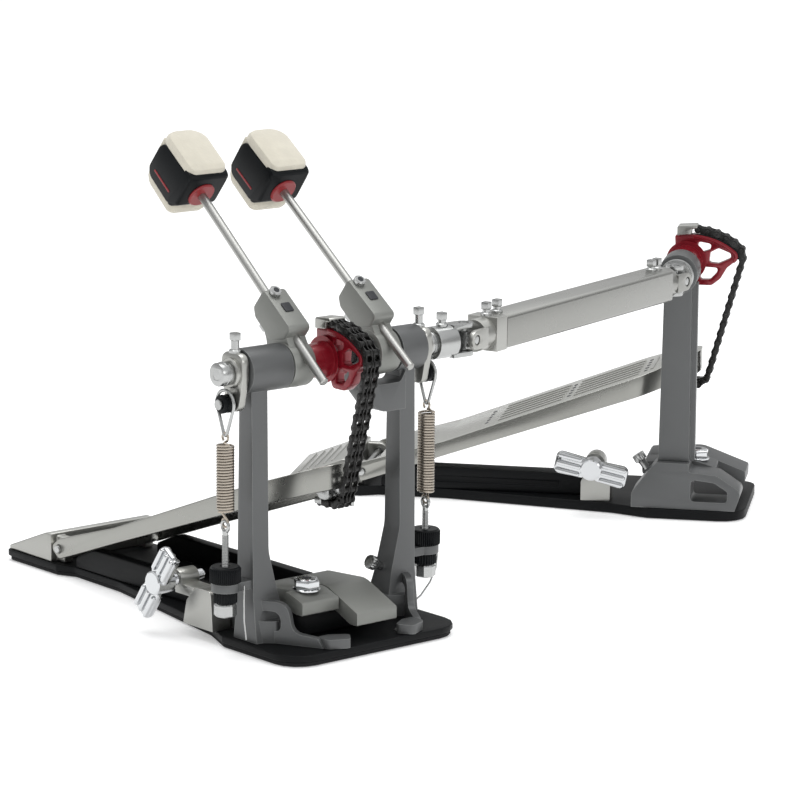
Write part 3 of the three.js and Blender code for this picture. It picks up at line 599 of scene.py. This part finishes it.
def beater_hub(prefix, place):
    """A ring on the axle, a neck, and a block that the rod slides in."""
    axle = prefix + "_axle"
    wide = 9.5
    barrel_ring = prism([circle(16, steps=56), circle(5.3, steps=28)], -wide, wide, ALONG_X, 1.3)
    neck = prism([rounded([(-12, 8, 1), (1, 25, 6), (5, 34, 2), (22, 20, 2), (15.4, 2, 1)])],
                 -wide + 0.8, wide - 0.8, ALONG_X, 1.2)
    block = prism([rounded([(3.5, 20, 5), (3.5, 42, 5), (8, 48, 4), (26, 48, 3.5), (27, 9, 4), (16, 9, 3)])],
                  -wide, wide, ALONG_X, 1.8)
    piece(prefix + "_hub_fine", together(barrel_ring, neck, block), place, HUB_CASTING, axle,
          [prefix + "_beater_hub"])
    # Painted shade: a thin dark slab and thin dark discs stand for the shade inside the window and the
    # sockets.
    window = moved(slab(-3.8, 3.8, 25, 33, -0.2, 0.25, 0.1, 1), move(0, 27, 0) @ FORWARD)
    at_front = move(2.5, 26.4, 43) @ FORWARD
    front_bolt = moved(lathe([(4.4, 0), (4.4, 2.6), (3.6, 3.4), (1.4, 3.4)], sides=28), at_front)
    bolt_socket = moved(lathe([(2.2, 3.3), (2.2, 3.6)], sides=12), at_front)
    piece(prefix + "_hub_front_bolt", front_bolt, place, ZINC, axle)
    set_screw = moved(lathe([(2.2, 15.2), (2.2, 16.12)], sides=20), spin(144.5, "X"))
    piece(prefix + "_hub_recess_shade", together(window, bolt_socket, set_screw), place, RECESS_SHADE, axle)
    bolt = moved(key_bolt(0, 0, 0, 9), move(0, 4.5, 37) @ spin(90, "X"))
    piece(prefix + "_hub_key_bolt", bolt, place, ZINC, axle)


def beater(prefix, x, lean):
    """A rod, head and hub at x along the axle, leaning by the angle in degrees."""
    place = beater_frame(x, lean)
    rod_body = prefix + "_beater_rod"
    rod = moved(lathe(barrel(ROD_R, *ROD_ENDS, 0.9), sides=32), move(0, ROD_OUT, 0))
    piece(prefix + "_rod_fine", rod, place, ROD_STEEL, rod_body, [rod_body])
    beater_head(prefix, place)
    beater_hub(prefix, place)


beater("main", *MAIN_BEATER)
beater("secondary", *SECOND_BEATER)


# ------------------------------------------------------------------ rockers, springs and tension rods
ROCKER_X = (80, 86)
COIL_R = 5.6
COIL_TOP = 150.5
COIL_PITCH = 2.0
COIL_STEPS = 14
COIL_WIRE = 0.88
HOOK_R = 3.1
HOOK_Z = 155.6


def rocker(prefix, place):
    """The arm outside a pillar with the axle's end in its top and the roller at its foot."""
    axle = prefix + "_axle"
    at_axle = move(0, 0, AXLE_Z) @ ALONG_X
    plate = rounded([(-7, ROLLER_Z, 5), (-12, AXLE_Z - 4, 6), (-12, AXLE_Z + 14, 7), (12, AXLE_Z + 14, 7),
                     (12, AXLE_Z - 4, 6), (7, ROLLER_Z - 6, 6), (-7, ROLLER_Z - 6, 6)])
    arm = prism([plate], *ROCKER_X, ALONG_X, 1.3)
    shoulder = moved(lathe([(10.6, 85.8), (10.6, 88.2), (9.6, 89)]), at_axle)
    piece(prefix + "_rocker_fine", together(arm, shoulder), place, SILVER, axle,
          [prefix + "_rocker_arm"])
    cap = prism([circle(8.2, steps=40), polygon(6, 3.6)], 89, 99.2, ALONG_X, 0.9)
    groove = lathe([(8.3, 93), (8.6, 93.4), (8.6, 94.2), (8.3, 94.6)])
    collar = together(moved(cap, move(0, 0, AXLE_Z)), moved(groove, at_axle))
    piece(prefix + "_axle_cap", collar, place, ZINC, axle)
    # Painted shade: a thin dark disc in the cap's hexagon hole.
    socket = moved(lathe([(3.9, 94), (3.9, 95)], sides=12), at_axle)
    piece(prefix + "_axle_socket_shade", socket, place, RECESS_SHADE, axle)
    bolt = key_bolt(sum(ROCKER_X) / 2, 0, AXLE_Z + 13.6, 14, 4.4)
    piece(prefix + "_rocker_key_bolt", bolt, place, ZINC, axle)

    at_roller = move(0, 0, ROLLER_Z) @ ALONG_X
    rim = [(5.6, 86.8), (6.5, 87.5), (6.5, 90), (5.9, 90.6),
           (5.9, 92.6), (6.5, 93.2), (6.5, 95.6), (5.6, 96.4)]
    piece(prefix + "_roller_fine", moved(lathe(rim), at_roller), place, BLACK_PLASTIC, axle,
          [prefix + "_spring_roller"])
    pin = lathe([(2.8, 85), (2.8, 96.6), (3.7, 96.9), (3.7, 98), (3.1, 98.6)], sides=28)
    piece(prefix + "_roller_pin", moved(pin, at_roller), place, ZINC, axle)


def spring(prefix, place, coil_low, eye_z):
    """The wire link that hangs on the roller, and the coil spring with a hook at each end."""
    link_body, spring_body = prefix + "_spring_link", prefix + "_spring"
    bow = [(SPRING_X, y, z) for y, z in arc(9.4, -32, 212, 26, (0, ROLLER_Z))]
    apex = [(SPRING_X, y, z) for y, z in arc(1.9, 205, 335, 8, (0, HOOK_Z + 3))]
    loop = sweep(bow + apex, 1.2, 10, True)
    piece(prefix + "_link_fine", loop, place, ZINC, link_body, [link_body])

    steps = int((COIL_TOP - coil_low) / COIL_PITCH * COIL_STEPS)
    coil = []
    for k in range(steps + 1):
        turn = 2 * math.pi * k / COIL_STEPS
        height = coil_low + (COIL_TOP - coil_low) * k / steps
        coil.append((SPRING_X + COIL_R * math.cos(turn), COIL_R * math.sin(turn), height))
    top_hook = [(SPRING_X, y, z) for y, z in arc(HOOK_R, -70, 230, 16, (0, HOOK_Z))]
    low_hook = [(SPRING_X, y, z) for y, z in arc(HOOK_R, -250, 50, 16, (0, eye_z + 2.4))]
    low_bridge, top_bridge = (SPRING_X + 3, -0.5, coil_low - 0.7), (SPRING_X + 2.2, 1.2, COIL_TOP + 1.5)
    wire = sweep([*low_hook, low_bridge, *coil, top_bridge, *top_hook], COIL_WIRE, 8)
    made = piece(prefix + "_spring_fine", wire, place, SPRING_STEEL, None, [spring_body])
    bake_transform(made)


def tension_rod(prefix, place, eye_z):
    """The threaded rod with its eye, and the three nuts on it."""
    at = move(SPRING_X, 0, 0)
    eye = sweep([(SPRING_X, y, z) for y, z in arc(3.6, 0, 345, 23, (0, eye_z))], 1.25, 10, True)
    turns = int((eye_z - 34) / 1.1)
    stem = lathe([(2.2, 28), *thread(2.45, 2.05, 29, 1.1, turns), (2.2, eye_z - 4.4), (2.2, eye_z - 3.4)],
                 sides=20)
    low_nut = lathe([(6.5, 29), (8, 30), (8, 37), (7, 38.4)], sides=8)
    piece(prefix + "_tension_rod_fine", together(eye, moved(stem, at), moved(low_nut, at)), place, ZINC,
          "main_base", [prefix + "_spring_rod"])
    piece(prefix + "_lock_nut", moved(knurled(8.4, 39, 46.6, 26), at), place, BLACK_PLASTIC, "main_base")
    cup = lathe([(9.6, 62.8), (10.3, 63.4), (10.3, 64.2), (9.4, 64.8), (4, 64.8), (3, 64)])
    nut = moved(together(knurled(11, 53.5, 63.4, 44), cup), at)
    piece(prefix + "_tension_nut_fine", nut, place, BLACK_PLASTIC, prefix + "_tension_nut",
          [prefix + "_tension_nut"])


MIRRORED = MAIN @ Matrix.Scale(-1, 4, (1, 0, 0))
for prefix, flip, place, coil_low, eye_z in (("main", False, MAIN, 104, 93),
                                             ("secondary", True, MIRRORED, 92, 84)):
    rocker(prefix, place)
    spring(prefix, place, coil_low, eye_z)
    tension_rod(prefix, place, eye_z)


# ------------------------------------------------------------------ cams
def from_crown(r, first, last, steps):
    """An arc about the centre of the cam's long curve, from and to an angle in degrees."""
    return arc(r, first, last, steps, CROWN)


def nose_centre():
    turn = math.radians(NOSE_TURN)
    return CROWN[0] + (CROWN_R - NOSE_R) * math.cos(turn), CROWN[1] + (CROWN_R - NOSE_R) * math.sin(turn)


def from_nose(r, first, last, steps):
    """An arc about the centre of the cam's tip."""
    return arc(r, first, last, steps, nose_centre())


def cam(prefix, place, x, hub_out, body):
    """The spoked cam with its flange, hub, black pad and the clip that holds the chain's end."""
    rim_r = CROWN_R - RIM_DROP
    tip_r = NOSE_R - RIM_DROP
    rim = [(-10, 21, 2), *from_crown(rim_r, 92, NOSE_TURN, 24), *from_nose(tip_r, NOSE_TURN, -70, 20),
           (33.2, -4.8, 5), (28, -14, 6), (21, -19.7, 6), (8, -19.7, 4), (4, -10), (-9, -6), (-9, 6)]
    upper = [(8.6, 6.2, 1.5), (19, 9.6, 2), (20.2, 14.4, 2), (9.5, 16.2, 2)]
    middle = [(18.5, -1.0, 2), (26, -1.6, 3), (37, 3.6, 3), (35.6, 7.4, 2.5), (26, 11.2, 3), (19.4, 7.6, 2)]
    lower = [(11.6, -8.6, 2), (14.5, -4.6, 2), (26.5, -5.0, 2), (24.5, -9.6, 3), (19.5, -15.0, 3),
             (11.6, -15.2, 2)]
    at = place @ move(x, 0, AXLE_Z)
    outline = rounded(rim)
    frame_ring = prism([outline, rounded(upper), rounded(middle), rounded(lower)], -4.2, 4.2, ALONG_X, 0.8)
    edge_inner = [*from_crown(rim_r - 3.2, 90, NOSE_TURN, 24), *from_nose(2.8, NOSE_TURN, -60, 10)]
    edge_outer = [*from_nose(tip_r, -60, NOSE_TURN, 16), *from_crown(rim_r, NOSE_TURN, 90, 24)]
    flange = prism([[*edge_inner, *edge_outer]], -6.4, 6.4, ALONG_X, 0.8)
    hub = lathe([(12.4, -8.5), (14, -7.5), (14, 1), (12.6, 9), (11.6, hub_out - 1), (10.8, hub_out)], ALONG_X)
    flare = lathe([(13, 1), (16.4, 5.6), (16.6, 6.2), (13, 6.3)], ALONG_X, 40)
    piece(prefix + "_cam_fine", together(frame_ring, flange, hub, flare), at, CRIMSON, body,
          [prefix + "_cam"])
    pad = 1.2
    band_out = [*from_crown(rim_r + pad, 84, NOSE_TURN, 20), *from_nose(tip_r + pad, NOSE_TURN, -20, 10)]
    band_in = [*from_nose(tip_r, -20, NOSE_TURN, 10), *from_crown(rim_r, NOSE_TURN, 84, 20)]
    piece(prefix + "_cam_pad", prism([[*band_out, *band_in]], -5.6, 5.6, ALONG_X, 0.3), at, RUBBER, body)
    top = rounded([(-8, 21, 1), (-8, 29, 2), (8.5, 30.2, 1.5), (8.5, 27.4, 1), (4, 26.6, 1), (3.4, 22, 1)])
    piece(prefix + "_chain_clip", prism([top], -7.2, 7.2, ALONG_X, 0.7), at, SILVER, body)


cam("main", MAIN, CHAIN_X, 22, "main_axle")
cam("slave", SLAVE, 0, 30, "slave_axle")


# ------------------------------------------------------------------ chains
PITCH = 8.0
CURL_R = 10.5
STRANDS = (-3.3, 3.3)


def chain_path():
    """Close points along the middle of the chain, from the clip on the cam to the end under the toe."""
    nose = nose_centre()
    away = (CHAIN_END[0] - nose[0], CHAIN_END[1] - AXLE_Z - nose[1])
    leave = math.degrees(math.atan2(away[1], away[0]) + math.acos(NOSE_R / math.hypot(*away)))
    wrap = [*from_crown(CROWN_R, 86, NOSE_TURN, 80), *from_nose(NOSE_R, NOSE_TURN, leave, 30)[1:]]
    wrap = [(y, z + AXLE_Z) for y, z in wrap]
    start = wrap[-1]
    across, down = CHAIN_END[0] - start[0], CHAIN_END[1] - start[1]
    steps = 170
    straight = [(start[0] + across * k / steps, start[1] + down * k / steps) for k in range(1, steps + 1)]
    heading = math.atan2(down, across)
    curl = (CHAIN_END[0] + CURL_R * math.sin(heading), CHAIN_END[1] - CURL_R * math.cos(heading))
    bend = arc(CURL_R, math.degrees(heading) + 90, -90, 40, curl)[1:]
    back = [(bend[-1][0] - 0.5 * k, bend[-1][1]) for k in range(1, 36)]
    return wrap + straight + bend + back


def chain_pins():
    """The pins' places, one pitch apart along the path."""
    path = chain_path()
    pins, gone, next_at = [], 0.0, 0.0
    for a, b in zip(path, path[1:]):
        step = math.dist(a, b)
        while gone + step >= next_at:
            t = (next_at - gone) / step
            pins.append((a[0] + (b[0] - a[0]) * t, a[1] + (b[1] - a[1]) * t))
            next_at += PITCH
        gone += step
    return pins


def link_plate(a, b, low, high):
    """A waisted side plate between two pins."""
    long = math.dist(a, b)
    waist = 2.1
    ends = arc(2.95, 50, 310, 12), arc(2.95, -130, 130, 12, (long, 0))
    outline = [*ends[0], (long / 2, -waist), *ends[1], (long / 2, waist)]
    turn = math.degrees(math.atan2(b[1] - a[1], b[0] - a[0]))
    shape = prism([outline], low, high, ALONG_Z, 0.18)
    return moved(shape, ALONG_X @ move(a[0], a[1], 0) @ spin(turn, "Z"))


def chain_run(pins, first):
    """Two strands of links on shared pins, with inner and outer plates in turn."""
    shapes = []
    for i, (a, b) in enumerate(zip(pins, pins[1:])):
        inner = (i + first) % 2 == 0
        for strand in STRANDS:
            for side in (-1, 1):
                low = strand + side * (1.7 if inner else 2.6) - 0.35
                shapes.append(link_plate(a, b, low, low + 0.7))
    for y, z in pins:
        at = move(0, y, z) @ ALONG_X
        shapes.append(moved(lathe(barrel(1.3, -6.5, 6.5, 0.3), sides=12), at))
        for strand in STRANDS:
            shapes.append(moved(lathe(barrel(2.4, strand - 1.3, strand + 1.3, 0.3), sides=16), at))
    return together(*shapes)


def chain(prefix, place, x):
    """The part that bends from the cam to the hanging run, and the curl that stays under the toe."""
    pins = chain_pins()
    split = next(i for i, (y, z) in enumerate(pins) if z < CHAIN_END[1] + PITCH / 2)
    at = place @ move(x, 0, 0)
    main_part = piece(prefix + "_chain_fine", chain_run(pins[:split + 1], 0), at, CHAIN_STEEL, None,
                      [prefix + "_chain_wrap", prefix + "_chain_run"])
    y, z = from_nose(NOSE_R, CHAIN_PIVOT, CHAIN_PIVOT, 1)[0]
    z += AXLE_Z
    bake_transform(main_part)
    piece(prefix + "_chain_curl", chain_run(pins[split:], split), at, CHAIN_STEEL, prefix + "_footboard")
    last = pins[-1]
    tab = slab(-7.5, 7.5, last[0] - 4, last[0] + 3, last[1] - 1.2, last[1] + 3.6, 0.5, 1)
    hook = slab(-10, -7, last[0] - 2, CHAIN_END[0] - 3, 95.5, 102, 0.8, 1.5)
    piece(prefix + "_chain_tab", together(tab, hook), at, ZINC, prefix + "_footboard")


chain("main", MAIN, CHAIN_X)
chain("slave", SLAVE, 0)


# ------------------------------------------------------------------ footboard grip, heel ribs and screws
def between(y, first, last):
    """The height at y on the line through two (y, z) points."""
    return first[1] + (last[1] - first[1]) * (y - first[0]) / (last[0] - first[0])


def slope_of(first, last):
    """The slope in degrees of the line through two (y, z) points."""
    return math.degrees(math.atan2(last[1] - first[1], last[0] - first[0]))


def on_board(y):
    """The height of the footboard's top at y."""
    return between(y, HINGE, KINK) if y < KINK[0] else between(y, KINK, TIP)


def board_details(prefix, place):
    """Grip ribs along and across the board, and rows of small holes drawn as thin dark patches of painted
    shade.
    """
    body = prefix + "_footboard"
    slope = slope_of(KINK, TIP)
    ribs = []
    for x in (-30, -18, -6, 6, 18, 30):
        for first, last in ((-150, -96), (-88, -34)):
            long = (last - first) / math.cos(math.radians(slope))
            rib = slab(-1.6, 1.6, 0, long, -1, 0.9, 0.5, 1.5)
            ribs.append(moved(rib, move(x, first, on_board(first)) @ spin(slope, "X")))
    for y in (-24, -12):
        half = 26 if y == -24 else 21
        bar = slab(-half, half, -1.6, 1.6, -1, 0.9, 0.5, 1.5)
        ribs.append(moved(bar, move(0, y, on_board(y)) @ spin(slope, "X")))
    piece(prefix + "_board_ribs", together(*ribs), place, SILVER, body)
    # Painted shade: thin dark patches on the tread stand for the holes.
    holes = []
    for x in (-24, -12, 0, 12, 24):
        for y in (-160, -92, -29):
            hole = slab(-2.4, 2.4, -1.6, 1.6, -0.4, 0.12, 0.05, 1.5)
            holes.append(moved(hole, move(x, y, on_board(y)) @ spin(slope, "X")))
    piece(prefix + "_board_hole_shade", together(*holes), place, RECESS_SHADE, body)


def heel_details(prefix, place, body):
    """Five ribs across the heel plate."""
    slope = spin(slope_of(HEEL_BACK, HEEL_FRONT), "X")
    rib = slab(-36, 36, -1.3, 1.3, -0.8, 0.8, 0.4, 1.2)
    ribs = [moved(rib, move(0, y, between(y, HEEL_BACK, HEEL_FRONT)) @ slope) for y in range(-316, -287, 7)]
    piece(prefix + "_heel_ribs", together(*ribs), place, SILVER, body)


def plate_screws(prefix, place, spots, body):
    """Button-head screws on the base plate, with dark hexagons of painted shade for their sockets."""
    head = lathe([(4.2, 0), (4.2, 0.5), (3.3, 1.2), (2.0, 1.3)], sides=28)
    # Painted shade: a thin dark hexagon on each head for its socket.
    key_hole = prism([polygon(6, 1.7)], 1.0, 1.45, ALONG_Z, 0.05)
    heads = [moved(head, move(x, y, PLATE_TOP)) for x, y in spots]
    key_holes = [moved(key_hole, move(x, y, PLATE_TOP)) for x, y in spots]
    piece(prefix + "_plate_screws", together(*heads), place, ZINC, body)
    piece(prefix + "_plate_screw_socket_shade", together(*key_holes), place, RECESS_SHADE, body)


board_details("main", MAIN)
board_details("slave", SLAVE)
heel_details("main", MAIN, "main_base")
heel_details("slave", SLAVE, "slave_base")
plate_screws("main", MAIN, [(-30, 44), (30, 44), (0, -70), (0, -200)], "main_base")
plate_screws("slave", SLAVE, [(-30, 40), (-34, -10), (20, 46)], "slave_base")


# ------------------------------------------------------------------ hoop clamp bolts, wing screws and knobs
def hex_bolt(x, y, z):
    """A washer, a hexagon head and a low crown, standing on (x, y, z)."""
    washer = lathe([(9.4, 0), (9.8, 0.4), (9.8, 1.3), (9.2, 1.7)])
    head = prism([polygon(6, 9.4)], 1.6, 8, ALONG_Z, 0.9)
    crown = lathe([(7.6, 7.6), (7.6, 8.4), (6.8, 8.9), (4.2, 8.9)])
    return moved(together(washer, head, crown), move(x, y, z))


def clamp_bolt(prefix, place, low, replaced):
    """The bolt that goes down through the hoop clamp's jaw, with its head at the height low."""
    body = prefix + "_clamp_jaw"
    shank = moved(lathe([(4.9, 28), (4.9, 43)]), move(*CLAMP_BOLT, 0))
    bolt = together(shank, hex_bolt(*CLAMP_BOLT, low))
    piece(prefix + "_hex_bolt", bolt, place, CHROME, body, replaced)
    # Painted shade: a thin dark disc on the crown for the bolt's hole.
    hole = moved(lathe([(3.4, low + 8.2), (3.4, low + 9)]), move(*CLAMP_BOLT, 0))
    piece(prefix + "_hex_bolt_hole_shade", hole, place, RECESS_SHADE, body)


clamp_bolt("main", MAIN, 41.4, ["main_jaw_bolt"])
clamp_bolt("slave", SLAVE, 41, [])


def wing_screw(prefix, place, lean, y, z, x_in, x_out):
    """A two-bladed lever with ridges, on a threaded rod."""
    halves = []
    for up in (-1, 1):
        blade = rounded([(-8.6, 4, 3), (8.6, 4, 3), (9.6, 30, 5), (-9.6, 30, 5)])
        halves.append(prism([[(a, up * b) for a, b in blade]], x_in + 2.2, x_out - 2.2, ALONG_X, 1.6))
        for off in (-6.2, 0, 6.2):
            low, high = sorted((up * 8, up * 28.6))
            ridge = slab(off - 2.1, off + 2.1, low, high, x_in, x_out, 1.9, 2)
            halves.append(moved(ridge, ALONG_X))
    boss = lathe([(7, x_in - 7), (8.6, x_in - 6), (8.6, x_out - 0.8), (7.6, x_out), (5, x_out)], ALONG_X)
    lever = moved(together(*halves, boss), move(0, y, z) @ spin(lean, "X"))
    screw = [(3.6, 54), *thread(4.0, 3.55, 54.8, 1.2, int((x_in - 56) / 1.2)), (3.6, x_in)]
    rod = moved(lathe(screw, ALONG_X, 20), move(0, y, z))
    node = prefix + "_wing_screw"
    piece(prefix + "_wing_fine", together(lever, rod), place, CHROME, node, [node])


wing_screw("main", MAIN, -35, *WING, 90, 99)
wing_screw("slave", SLAVE, 78, *SLAVE_WING, 80.5, 89.5)


def thumb_knob(place, name, at, axis_turn, body):
    """A small knurled knob on a collar."""
    grip = knurled(5.2, 6, 12, 18, 0.5, 0.4)
    knob = together(grip, lathe([(3, -2), (3, 4), (3.8, 6.2)], sides=20))
    piece(name, moved(knob, move(*at) @ axis_turn), place, ZINC, body)


thumb_knob(SLAVE, "slave_thumb_knob", (55, -24, 38), spin(35, "X"), "slave_base")
thumb_knob(MAIN, "main_thumb_knob", (-52, -3, 42), spin(65, "Y"), "main_base")


# ------------------------------------------------------------------ universal joints and drive shaft
piece("main_yoke_key_bolt", key_bolt(-105, 0, AXLE_Z + 11.5, 10, 4.4), MAIN, ZINC, "secondary_axle")
piece("shaft_key_bolt_inner", key_bolt(31, 0, TUBE / 2, 10, 4.2), SHAFT, ZINC, "drive_shaft_inner")
far_bolts = [key_bolt(SHAFT_LONG - back, 0, TUBE / 2, 9, 4.2) for back in (38, 29)]
near_bolt = key_bolt(46, 0, TUBE / 2, 10, 4.2)
piece("shaft_key_bolts_outer", together(*far_bolts, near_bolt), SHAFT, ZINC, "drive_shaft_outer")
ring = prism([circle(13.6, steps=56), circle(10.2, steps=48)], 80.4, 84.4, ALONG_X, 0.9)
piece("slave_yoke_ring", moved(ring, move(0, 0, AXLE_Z)), SLAVE, ZINC, "slave_axle")


# ------------------------------------------------------------------ retaining wires
left_wire = [(-99, 3, 52), (-101, 3, 44), (-100.5, 2, 34), (-96, 1, 24), (-88, 0, 15), (-80, 0, 11)]
right_wire = [(82, 9, 51), (82.4, 9.4, 40), (82, 9.2, 26), (80, 9, 12)]
for prefix, points in (("secondary", left_wire), ("main", right_wire)):
    piece(prefix + "_retaining_wire", sweep(points, 0.7, 8), MAIN, ZINC, "main_base")


# ------------------------------------------------------------------ floor, light and camera
bpy.ops.mesh.primitive_plane_add(size=40, location=(0, 0, -0.0005))
floor = bpy.context.object
floor.name = "floor"
floor.data.materials.append(finish("pale_floor", (0.93, 0.93, 0.93), 0.0, 0.75, mottle=(2, 0.004),
                                   Emission_Color=(1, 1, 1, 1), Emission_Strength=0.29))

world = bpy.data.worlds.new("studio")
world.use_nodes = True
bpy.context.scene.world = world
sky = world.node_tree.nodes["Background"]
direction = new_node(world.node_tree, "TexCoord", {})
split = new_node(world.node_tree, "SeparateXYZ", {0: direction.outputs["Generated"]})
ramp = new_node(world.node_tree, "ValToRGB", {"Fac": split.outputs["Z"]})
world.node_tree.links.new(ramp.outputs["Color"], sky.inputs["Color"])
bands = ramp.color_ramp.elements
bands.new(0.28).color = (0.66, 0.665, 0.67, 1)
bands[0].color = (0.72, 0.72, 0.72, 1)
bands[-1].position = 0.55
bands[-1].color = (1.22, 1.23, 1.24, 1)
sky.inputs["Strength"].default_value = 0.72


def area_light(name, at, size, power, aim=(-0.1, -0.1, 0.12)):
    data = bpy.data.lights.new(name, "AREA")
    data.shape = "RECTANGLE"
    data.size, data.size_y = size
    data.energy = power
    lamp = bpy.data.objects.new(name, data)
    lamp.location = at
    lamp.rotation_euler = (Vector(aim) - Vector(at)).to_track_quat("-Z", "Y").to_euler()
    bpy.context.scene.collection.objects.link(lamp)


area_light("key", (-0.3, 3.0, 1.5), (1.6, 1.2), 16)
area_light("top", (-0.2, -0.3, 2.8), (2.4, 1.6), 34)

# The view turns about a point near the middle of the object: angles in degrees, distance in metres.
AZIMUTH, ELEVATION, DISTANCE, ROLL = 139.8, 12.32, 2.6724, 0.46
VIEW_POINT = (-0.1, -0.08, 0.1)
camera_data = bpy.data.cameras.new("camera")
camera_data.lens = 162.84
camera_data.sensor_width = 36
camera_data.shift_x = 0.046
camera_data.shift_y = 0.0751
camera_data.clip_start, camera_data.clip_end = 0.05, 60
camera = bpy.data.objects.new("camera", camera_data)
az, el, roll = (math.radians(a) for a in (AZIMUTH, ELEVATION, ROLL))
back = Vector((math.sin(az) * math.cos(el), -math.cos(az) * math.cos(el), math.sin(el)))
right = Vector((math.cos(az), math.sin(az), 0))
up = back.cross(right)
level_right = math.cos(roll) * right + math.sin(roll) * up
level_up = math.cos(roll) * up - math.sin(roll) * right
facing = Matrix((level_right, level_up, back)).transposed().to_4x4()
camera.matrix_world = Matrix.Translation(Vector(VIEW_POINT) + back * DISTANCE) @ facing
bpy.context.scene.collection.objects.link(camera)
bpy.context.scene.camera = camera
bpy.context.scene.view_settings.view_transform = "Standard"
